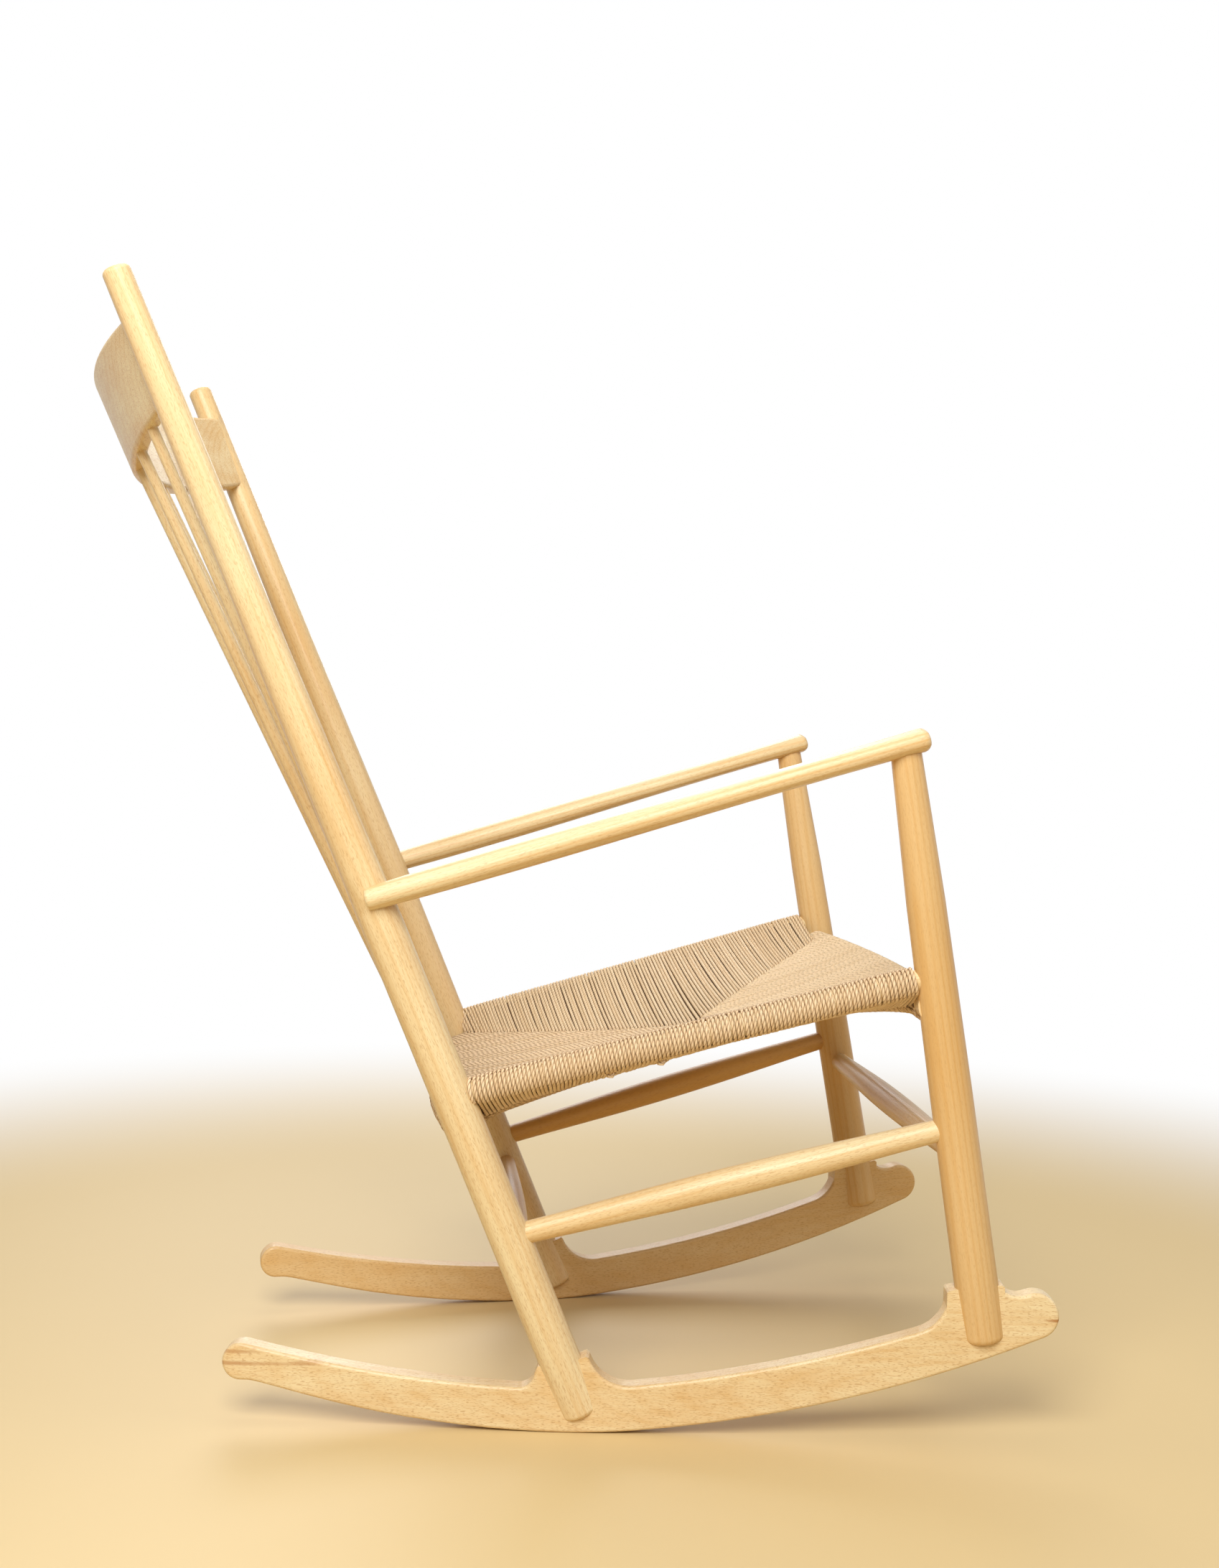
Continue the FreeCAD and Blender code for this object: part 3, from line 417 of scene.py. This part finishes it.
# The way the grain runs, the heart, the strength of the rings and of the flecks, and the share of deep
# colour. For the left rocker, left rear post, left side stretcher and rear stretcher, that share is partly
# painted shade.
BEECH_PIECES = {
    "rocker_right": ((0, 1, 0.02), (-0.09, 0.02, -0.03), 0.1, 0.45, 0),
    "rear_post_right": ((-0.06, 0.41, 1), (-0.05, 0.03, 0), RINGS, FLECKS, 0.02),
    "front_leg_right": ((-0.05, 0.165, 1), (-0.03, 0.03, 0), 0.3, 0.2, 0.6),
    "arm_right": ((0.09, 0.95, -0.29), (0, 0.02, -0.06), 0.28, 0.3, 0.1),
    "side_stretcher_right": ((-0.1, -1, 0.28), (0.03, 0, 0.04), RINGS, FLECKS, 0.1),
    "seat_side_rail_right": ((-0.1, -0.96, 0.25), (0.04, 0, 0.02), RINGS, FLECKS, 0),
    "arm_dowel_right": ((1, 0, 0), (0, 0.02, 0.02), RINGS, FLECKS, 0),
    # Deeper colour here is partly painted shade, for the shade under the seat
    "rocker_left": ((0, 1, 0.02), (0.09, 0.02, -0.03), 0.1, 0.45, 0.5),
    # Deeper colour here is partly painted shade
    "rear_post_left": ((0.06, 0.41, 1), (0.05, 0.03, 0), RINGS, FLECKS, 0.25),
    "front_leg_left": ((0.05, 0.165, 1), (0.03, 0.03, 0), 0.3, 0.2, 0.6),
    "arm_left": ((-0.09, 0.95, -0.29), (0, 0.02, -0.06), 0.28, 0.3, 0.1),
    # Deep colour here is painted shade under the seat as well as wood tone
    "side_stretcher_left": ((0.1, -1, 0.28), (0.03, 0, 0.04), RINGS, FLECKS, 1),
    "seat_side_rail_left": ((0.1, -0.96, 0.25), (0.04, 0, 0.02), RINGS, FLECKS, 0),
    "arm_dowel_left": ((1, 0, 0), (0, 0.02, 0.02), RINGS, FLECKS, 0),
    "front_stretcher": ((1, 0, 0), (0, 0.04, 0.03), RINGS, FLECKS, 0.5),
    # Deeper colour here is partly painted shade under the seat
    "rear_stretcher": ((1, 0, 0), (0, 0.03, -0.05), RINGS, FLECKS, 0.7),
    "seat_front_rail": ((1, 0, 0), (0, 0.05, -0.02), RINGS, FLECKS, 0),
    "seat_rear_rail": ((1, 0, 0), (0, 0.05, 0.02), RINGS, FLECKS, 0),
    "top_rail": ((1, 0, 0), (0, -0.12, 0.02), 0.14, 0.5, 0),
}
SPINDLE_HEART_ASIDE = 0.03
SPINDLE_HEART_BEHIND = 0.02
SPINDLE_HEART_SPREAD = 0.03
SPINDLE_FLECKS = 0.4
SPINDLE_WARMTH = 0.2


def finish_frame():
    for name, row in BEECH_PIECES.items():
        finish_node(name, *row)
    add_stains(nodes["rocker_right"].data.materials[0])
    for name in sorted(nodes):
        if name.startswith("spindle_"):
            low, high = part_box(name)
            way = high - low
            if low.x + high.x < 0:
                way.x = -way.x
            behind = SPINDLE_HEART_BEHIND + chance.uniform(0, SPINDLE_HEART_SPREAD)
            warmth = chance.uniform(0, SPINDLE_WARMTH)
            finish_node(name, way, (SPINDLE_HEART_ASIDE, behind, 0), RINGS, SPINDLE_FLECKS, warmth)


# Paper cord: three twisted plies, each drawn with a groove and a rounded back, and with painted shade in the
# grooves

CORD_RADIUS = 1.87 * MM
CORD_LAY = 16 * MM
PLIES = 3
GROOVE_SHARE = 0.76
FEWEST_RINGS = 4
OFF_EVERY_ROUTE = (0.31, 0.52, 0.79)

# Points round each ply and the step between rings, for cords in full view and for those underneath the seat
FINE = (3, 2.3 * MM)
PLAIN = (2, 2.6 * MM)


@functools.lru_cache(maxsize=None)
def straight_cord(rings, ply_points, turn):
    # A cord along Z, one unit a ring, with its length in the map's V and its girth in U
    bm = bmesh.new()
    count = PLIES * ply_points
    section = bmesh.ops.create_circle(bm, segments=count, radius=CORD_RADIUS)["verts"]
    for vert in section[::ply_points]:
        vert.co *= GROOVE_SHARE
    bmesh.ops.spin(bm, geom=bm.verts[:] + bm.edges[:], cent=(0, 0, 0), axis=(0, 0, 1), dvec=(0, 0, 1),
                   angle=turn * rings, steps=rings)
    bmesh.ops.holes_fill(bm, edges=[e for e in bm.edges if e.is_boundary], sides=count)
    bmesh.ops.recalc_face_normals(bm, faces=bm.faces)
    layer = bm.loops.layers.uv.new("cord")
    for face in bm.faces:
        face.smooth = len(face.verts) == 4
        girths = []
        for loop in face.loops:
            spun = math.atan2(loop.vert.co.y, loop.vert.co.x) - turn * loop.vert.co.z
            girths.append(spun / math.tau % 1)
        for loop, girth in zip(face.loops, girths):
            # A face across the end of the girth runs on past 1
            if max(girths) - min(girths) > 0.5 and girth < 0.5:
                girth += 1
            loop[layer].uv = (girth, loop.vert.co.z)
    mesh = bpy.data.meshes.new("straight_cord")
    bm.to_mesh(mesh)
    bm.free()
    places = np.empty(len(mesh.vertices) * 3)
    mesh.vertices.foreach_get("co", places)
    return mesh, places.reshape(-1, 3)


def frames_along(points):
    # Two unit vectors square to the route at each of its points, which turn as little as they can
    heading = np.gradient(points, axis=0)
    heading /= np.linalg.norm(heading, axis=1)[:, None]
    side = np.cross(heading[0], OFF_EVERY_ROUTE)
    sides = []
    for way in heading:
        side = side - way * side.dot(way)
        side = side / np.linalg.norm(side)
        sides.append(side)
    sides = np.array(sides)
    return sides, np.cross(heading, sides)


def lay_cord(bm, route, ply_points, ring_step):
    # Copies the straight cord and bends it along a route of closely spaced points
    points = np.array([tuple(p) for p in route])
    runs = np.concatenate(([0], np.cumsum(np.linalg.norm(np.diff(points, axis=0), axis=1))))
    # An even number of rings, so that fewer straight cords are made
    rings = max(FEWEST_RINGS, 2 * round(runs[-1] / ring_step / 2))
    mesh, straight = straight_cord(rings, ply_points, math.tau * ring_step / CORD_LAY)
    where = straight[:, 2] / rings * runs[-1]

    def along_route(rows):
        return np.stack([np.interp(where, runs, rows[:, n]) for n in range(3)], axis=1)

    spot, side, over = [along_route(rows) for rows in (points, *frames_along(points))]
    phase = chance.uniform(0, math.tau)
    across = straight[:, 0] * math.cos(phase) - straight[:, 1] * math.sin(phase)
    above = straight[:, 0] * math.sin(phase) + straight[:, 1] * math.cos(phase)
    bent = spot + side * across[:, None] + over * above[:, None]
    copy = mesh.copy()
    copy.vertices.foreach_set("co", bent.ravel())
    first = len(bm.verts)
    bm.from_mesh(copy)
    bpy.data.meshes.remove(copy)
    tone = chance.random()
    layer = bm.verts.layers.float["tone"]
    bm.verts.ensure_lookup_table()
    for vert in bm.verts[first:]:
        vert[layer] = tone


def new_cord_mesh():
    bm = bmesh.new()
    bm.loops.layers.uv.new("cord")
    bm.verts.layers.float.new("tone")
    return bm


CORD_PALE = (0.88, 0.7, 0.46, 1)
CORD_DEEP = (0.78, 0.59, 0.36, 1)
CREASE_COLOUR = (0.48, 0.26, 0.1, 1)
CREASE_REPEATS = (42, 0.35, 1)
CREASE_RANGE = (0.38, 0.68)
CREASE_DEPTH = 0.4
# Painted shade in the grooves between the plies: its colour, where it sets in and its strength
GROOVE_SHADE_COLOUR = (0.24, 0.1, 0.03, 1)
# Distance from the middle of a ply, as a share of its width, where the painted groove shade begins and is
# full
GROOVE_SHADE_RANGE = (0.28, 0.48)
GROOVE_SHADE_DEPTH = 0.78
CORD_SPECULAR = 0.2
CORD_ROUGHNESS = (0.55, 0.7)
CORD_BUMP = 0.35
CORD_BUMP_HEIGHT = 0.15 * MM
# Partly painted shade: the card between the layers is real, but its near-black colour stands in for the shade
# seen in the gaps between cords
CARD_AND_GAP_SHADE_LOOKS = {"Base Color": (0.12, 0.06, 0.025, 1), "Roughness": 0.9}


def cord_material():
    material, tree, surface = new_material("paper_cord")
    tone = new_node(tree, "ShaderNodeAttribute", attribute_name="tone")
    place = new_node(tree, "ShaderNodeUVMap", uv_map="cord").outputs[0]
    fibres = stretched(tree, place, CREASE_REPEATS, "ShaderNodeTexNoise", Detail=2)
    creases = ranged(tree, fibres.outputs["Fac"], *CREASE_RANGE)
    colour = mixed(tree, tone.outputs["Fac"], CORD_PALE, CORD_DEEP)
    colour = mixed(tree, maths(tree, "MULTIPLY", creases, CREASE_DEPTH), colour, CREASE_COLOUR)
    girth = new_node(tree, "ShaderNodeSeparateXYZ")
    tree.links.new(place, girth.inputs[0])
    # Painted shade: the colour darkens towards the groove on each side of a ply
    ply = maths(tree, "FRACT", maths(tree, "MULTIPLY", girth.outputs[0], PLIES))
    groove = maths(tree, "ABSOLUTE", maths(tree, "SUBTRACT", ply, 0.5))
    shade = ranged(tree, groove, *GROOVE_SHADE_RANGE, 0, GROOVE_SHADE_DEPTH)
    tree.links.new(mixed(tree, shade, colour, GROOVE_SHADE_COLOUR), surface.inputs["Base Color"])
    tree.links.new(ranged(tree, creases, 0, 1, *CORD_ROUGHNESS), surface.inputs["Roughness"])
    surface.inputs["Specular IOR Level"].default_value = CORD_SPECULAR
    add_bump(tree, surface, creases, CORD_BUMP, CORD_BUMP_HEIGHT)
    return material


def card_and_gap_shade_material():
    # Painted shade: the card's brown is darkened nearly to black for the shade between the cords
    material, _, surface = new_material("brown_card_gap_shade")
    set_inputs(surface, CARD_AND_GAP_SHADE_LOOKS)
    return material


# Where the seat's rails run

SIDE_RAIL_END_DIAMETER = 18 * MM
SIDE_RAIL_SHARES = (0, 0.03, 0.06, 0.1, 0.9, 0.94, 0.97, 1)
SIDE_RAIL_RADII = (9 * MM, 9.9 * MM, 10.6 * MM, 11 * MM, 11 * MM, 10.6 * MM, 9.9 * MM, 9 * MM)
FRONT_RAIL_WIDTH = 24 * MM
REAR_RAIL_DIAMETER = 25 * MM
SLOPE_STEPS = 6
front_low, front_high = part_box("seat_front_rail")
rear_low, rear_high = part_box("seat_rear_rail")


def rod_line(name, across_sign):
    # Ends of a round side rail's middle line, rear then front. The slope follows from the box in a few steps.
    low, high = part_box(name)
    span = high - low
    way = span.normalized()
    for _ in range(SLOPE_STEPS):
        ends = [SIDE_RAIL_END_DIAMETER * math.sqrt(1 - share * share) for share in way]
        way = Vector([whole - end for whole, end in zip(span, ends)]).normalized()
    length = (span.y - SIDE_RAIL_END_DIAMETER * math.sqrt(1 - way.y ** 2)) / way.y
    way = Vector((across_sign * way.x, -way.y, way.z))
    middle = (low + high) / 2
    return middle - way * length / 2, middle + way * length / 2


def bowed_place(across, middle, end, half):
    # A place on a bowed rail's middle line; middle and end are (y, z)
    share = (across / half) ** 2
    back, height = [start + (stop - start) * share for start, stop in zip(middle, end)]
    return Vector((across, back, height))


def front_rail_place(across):
    level = (front_low.z + front_high.z) / 2
    half = FRONT_RAIL_WIDTH / 2
    return bowed_place(across, (front_low.y + half, level), (front_high.y - half, level), front_high.x)


def rear_rail_place(across):
    half = REAR_RAIL_DIAMETER / 2
    middle = (rear_high.y - half, rear_low.z + half)
    end = (rear_low.y + half, rear_high.z - half)
    return bowed_place(across, middle, end, rear_high.x)


# The seat's four fields of cord meet in seams that run from the middle to the corners

MIDDLE = Vector((0, -0.163, 0.362))
FRONT_CORNER = Vector((0.222, -0.333, 0.4225))
REAR_CORNER = Vector((0.2, 0.085, 0.316))
FRONT_BENDS = (0.95, 0.85)
REAR_BENDS = (1.15, 0.7)
MIDDLE_DEPTH = 12.5 * MM
CORNER_DEPTH = 13.5 * MM
PILE_START = 0.035
PILE_DEPTH = 9 * MM


def seam_place(across, corner, bends):
    # Top of the seam at a distance from the middle, towards a front or a rear corner
    share = min(abs(across) / corner.x, 1)
    return Vector((across, MIDDLE.y + (corner.y - MIDDLE.y) * share ** bends[0],
                   MIDDLE.z + (corner.z - MIDDLE.z) * share ** bends[1]))


def side_seam_place(back, sign):
    # Top of the seam at a given y, on one side of the chair
    corner, bends = (FRONT_CORNER, FRONT_BENDS) if back < MIDDLE.y else (REAR_CORNER, REAR_BENDS)
    share = max(0.0, (back - MIDDLE.y) / (corner.y - MIDDLE.y)) ** (1 / bends[0])
    return Vector((sign * corner.x * share, back, MIDDLE.z + (corner.z - MIDDLE.z) * share ** bends[1]))


def depth_at(place):
    # From the cords above to the cords below at the seam, which pile up in the rear corners
    pile = max(0, place.y - PILE_START) / (REAR_CORNER.y - PILE_START) * PILE_DEPTH
    return MIDDLE_DEPTH + (CORNER_DEPTH - MIDDLE_DEPTH) * min(1, abs(place.x) / FRONT_CORNER.x) + pile


# One winding of cord: over the rail and back under it, with a tight turn into the seam at both ends

TURN_STEPS = 14
ROUTE_SHARES = (0, 0.04, 0.09, 0.15, 0.25, 0.36, 0.48, 0.6, 0.73, 0.87)
CARD_SHARES = (0, 0.15, 0.35, 0.6, 0.85, 0.97)
CARD_GAP = 2.8 * MM
SAG_LIMIT = 4 * MM
SAG_SHARE = 0.016
SAG_SPREAD = (0.85, 1.15)
SWAY_LIMIT = 0.6 * MM
SWAY_SHARE = 0.004
CLOSE_SHARE = 0.13
DIVE = 3.6 * MM
DIVE_LEAN = 0.7
DIVE_ANGLES = (0, 30, 60, 85)


def bow(share):
    # 0 at both ends and 1 half-way
    return 4 * share * (1 - share)


def card_line(start, inner, offset):
    # The card just inside one layer, from the rail nearly to the seam
    run = inner - start
    sag = min(SAG_LIMIT, run.length * SAG_SHARE)
    return [start + run * share + UP * (offset - sag * bow(share)) for share in CARD_SHARES]


def run_to_seam(inner, start, way, push):
    # From the rail to the seam with a little sag, then into the seat, down for way -1 and up for 1.
    # A cord that something on the rail pushes aside along X soon closes up with the next one.
    start = start - Vector((push, 0, 0))
    run = inner - start
    sag = min(SAG_LIMIT, run.length * SAG_SHARE) * chance.uniform(*SAG_SPREAD)
    sway = run.cross(UP).normalized() * min(run.length * SWAY_SHARE, SWAY_LIMIT) * chance.uniform(-1, 1)
    route = []
    for share in ROUTE_SHARES:
        pushed = Vector((push * max(0, 1 - share / CLOSE_SHARE) ** 2, 0, 0))
        route.append(start + run * share - UP * sag * bow(share) + sway * bow(share) + pushed)
    heading = run.normalized()
    for angle in DIVE_ANGLES:
        turn = math.radians(angle)
        ahead = math.sin(turn) * DIVE * DIVE_LEAN
        drop = (1 - math.cos(turn)) * DIVE
        route.append(inner - heading * DIVE * DIVE_LEAN + heading * ahead + UP * way * drop)
    route.append(route[-1] + UP * way * DIVE)
    return route


def wrap_route(centre, above, half_out, half_up, inner, aside=0.0):
    # A route from the seam over and round the rail, one back underneath, and a round of the card between them
    gap = inner - centre
    out = (gap - above * gap.dot(above)).normalized() * -1
    under = inner - UP * depth_at(inner)

    def round_rail(angle):
        return centre + out * math.cos(angle) * half_out + above * math.sin(angle) * half_up

    def touch(point, way):
        # The angle at which a straight line from the point just touches the rail
        across = (point - centre).dot(out) / half_out
        up = (point - centre).dot(above) / half_up
        return math.atan2(up, across) % math.tau + way * math.acos(min(1, 1 / math.hypot(across, up)))

    top = touch(inner, -1)
    low = touch(under, 1) - math.tau
    rail = [round_rail(top + (low - top) * n / TURN_STEPS) for n in range(TURN_STEPS + 1)]
    upper = run_to_seam(inner, rail[0], -1, aside)[::-1] + rail[1:]
    lower = [rail[-2]] + run_to_seam(under, rail[-1], 1, aside)
    card = card_line(rail[0], inner, -CARD_GAP) + card_line(rail[-1], under, CARD_GAP)[::-1]
    return upper, lower, card


# The windings of the four fields

# The cord is pressed a little flatter where it lies on a rail
PRESSED_SHARE = 0.96
WRAP_RADIUS = CORD_RADIUS * PRESSED_SHARE
STEP_JITTER = 0.03
GAP_CHANCE = 0.1
SNUG = 0.2 * MM

SIDE_WRAP_REAR = 0.0955
SIDE_WRAP_FRONT = -0.3245
SIDE_PITCH = 3.95 * MM
SIDE_GAP_SHARE = 0.2
SIDE_JITTER = 0.04
SIDE_SNUG = 0.25 * MM

FRONT_REACH = 0.246
FRONT_PITCH = 3.72 * MM
FRONT_GAP_SHARE = 0.15
FRONT_JITTER = 0.12 * MM

REAR_REACH = 0.199
REAR_PITCH = 3.62 * MM
REAR_GAP_SHARE = 0
SPINDLE_FOOT_RADIUS = 5.6 * MM
CORNER_START = 0.165
CORNER_WIDTH = 0.034
CORNER_BUILD_UP = 1.5 * MM


def uneven(count, gap_share):
    # Places from 0 to 1 at nearly even steps, with a wider step here and there
    places = [0]
    for _ in range(count - 1):
        step = 1 + chance.uniform(-STEP_JITTER, STEP_JITTER)
        if chance.random() < GAP_CHANCE:
            step += gap_share
        places.append(places[-1] + step)
    return [place / places[-1] for place in places]


def side_field(sign, side):
    rear, front = rod_line("seat_side_rail_" + side, sign)
    way = (front - rear).normalized()
    above = (UP - way * UP.dot(way)).normalized()
    count = round((SIDE_WRAP_REAR - SIDE_WRAP_FRONT) / -way.y / SIDE_PITCH)
    for share in uneven(count, SIDE_GAP_SHARE):
        along = share + chance.uniform(-SIDE_JITTER, SIDE_JITTER) / count
        back = SIDE_WRAP_REAR + (SIDE_WRAP_FRONT - SIDE_WRAP_REAR) * along
        centre = rear + way * ((back - rear.y) / way.y)
        place = (back - rear.y) / (front.y - rear.y)
        half = np.interp(place, SIDE_RAIL_SHARES, SIDE_RAIL_RADII) + WRAP_RADIUS
        inner = side_seam_place(REAR_CORNER.y + (FRONT_CORNER.y - REAR_CORNER.y) * share, sign)
        snug = chance.uniform(0, SIDE_SNUG)
        yield wrap_route(centre, above, half + snug, half + snug, inner)


def front_field():
    half_height = (front_high.z - front_low.z) / 2
    count = round(2 * FRONT_REACH / FRONT_PITCH)
    for share in uneven(count, FRONT_GAP_SHARE):
        across = FRONT_REACH * (2 * share - 1) + chance.uniform(-FRONT_JITTER, FRONT_JITTER)
        snug = chance.uniform(0, SNUG)
        half_out = FRONT_RAIL_WIDTH / 2 + WRAP_RADIUS + snug
        half_up = half_height + WRAP_RADIUS + snug
        inner = seam_place(across, FRONT_CORNER, FRONT_BENDS)
        yield wrap_route(front_rail_place(across), UP, half_out, half_up, inner)


def spindle_feet():
    # The middle spindle stands over x = 0, and the others lean out from their feet
    feet = []
    for name in nodes:
        if name.startswith("spindle_"):
            low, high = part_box(name)
            if abs(low.x + high.x) < MM:
                feet.append(0)
            else:
                inner = min(low.x, high.x, key=abs)
                feet.append(inner + math.copysign(SPINDLE_FOOT_RADIUS, inner))
    return sorted(feet)


def rear_spots():
    # The cord passes on each side of every spindle's foot
    edges = [-REAR_REACH]
    for foot in spindle_feet():
        edges += [foot - SPINDLE_FOOT_RADIUS, foot + SPINDLE_FOOT_RADIUS]
    edges.append(REAR_REACH)
    spots = []
    for low, high in zip(edges[::2], edges[1::2]):
        count = int((high - low) / REAR_PITCH)
        spots += [low + (high - low) * (n + 0.5) / count for n in range(count)]
    return spots


def rear_field():
    spots = rear_spots()
    half = REAR_RAIL_DIAMETER / 2 + WRAP_RADIUS
    for share, spot in zip(uneven(len(spots), REAR_GAP_SHARE), spots):
        across = REAR_REACH * (2 * share - 1)
        snug = chance.uniform(0, SNUG) + CORNER_BUILD_UP * max(0, abs(spot) - CORNER_START) / CORNER_WIDTH
        inner = seam_place(across, REAR_CORNER, REAR_BENDS)
        yield wrap_route(rear_rail_place(spot), UP, half + snug, half + snug, inner, spot - across)


# The knots hang under the right side rail at these places along Y. Their turns are in degrees.

KNOTS = (-0.044, -0.091)
KNOT_SIZE = (1.5 * MM, 2.6 * MM, 1.1 * MM)
KNOT_DROP = 15 * MM
KNOT_STEPS = 60
KNOT_START = 12
KNOT_TURN = 336


def add_knots(bm):
    # Where two lengths of cord are tied together, each drawn as an open trefoil of cord
    rear, front = rod_line("seat_side_rail_right", -1)
    for back in KNOTS:
        centre = rear + (front - rear) * ((back - rear.y) / (front.y - rear.y)) - UP * KNOT_DROP
        route = []
        for number in range(KNOT_STEPS + 1):
            turn = math.radians(KNOT_START + KNOT_TURN * number / KNOT_STEPS)
            loop = (-math.sin(3 * turn), math.sin(turn) + 2 * math.sin(2 * turn),
                    math.cos(turn) - 2 * math.cos(2 * turn))
            route.append(centre + Vector([share * size for share, size in zip(loop, KNOT_SIZE)]))
        lay_cord(bm, route, *FINE)


# The card needs the line of every third winding only
CARD_EVERY = 3


def card_filling(lines):
    # A closed sheet of folded card between the two layers of one field
    bm = bmesh.new()
    rows = [[bm.verts.new(point) for point in line] for line in lines]
    count = len(rows[0])
    for first, second in zip(rows, rows[1:]):
        for number in range(count):
            after = (number + 1) % count
            bm.faces.new((first[number], first[after], second[after], second[number]))
    bm.faces.new(rows[0])
    bm.faces.new(rows[-1][::-1])
    bmesh.ops.recalc_face_normals(bm, faces=bm.faces)
    return bm


def seat_piece(name, bm, material):
    piece = finished(bm, name, material)
    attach(piece, "root")
    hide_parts("woven_seat")


def wind_seat():
    fields = (("front", front_field()), ("rear", rear_field()),
              ("right", side_field(-1, "right")), ("left", side_field(1, "left")))
    for name, field in fields:
        upper = new_cord_mesh()
        lower = new_cord_mesh()
        lines = []
        for top_route, low_route, card in field:
            lay_cord(upper, top_route, *FINE)
            lay_cord(lower, low_route, *PLAIN)
            lines.append(card)
        if name == "right":
            add_knots(lower)
        seat_piece("seat_cord_" + name, upper, CORD)
        seat_piece("seat_cord_under_" + name, lower, CORD)
        seat_piece("seat_card_" + name, card_filling(lines[::CARD_EVERY]), CARD)


GRAIN = grain_group()
CORD = cord_material()
CARD = card_and_gap_shade_material()
set_camera()
set_world()
set_stage()
finish_frame()
wind_seat()

scene.view_settings.view_transform = "Standard"

[[list(corner) for corner in box] for box in (cad_box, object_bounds())]
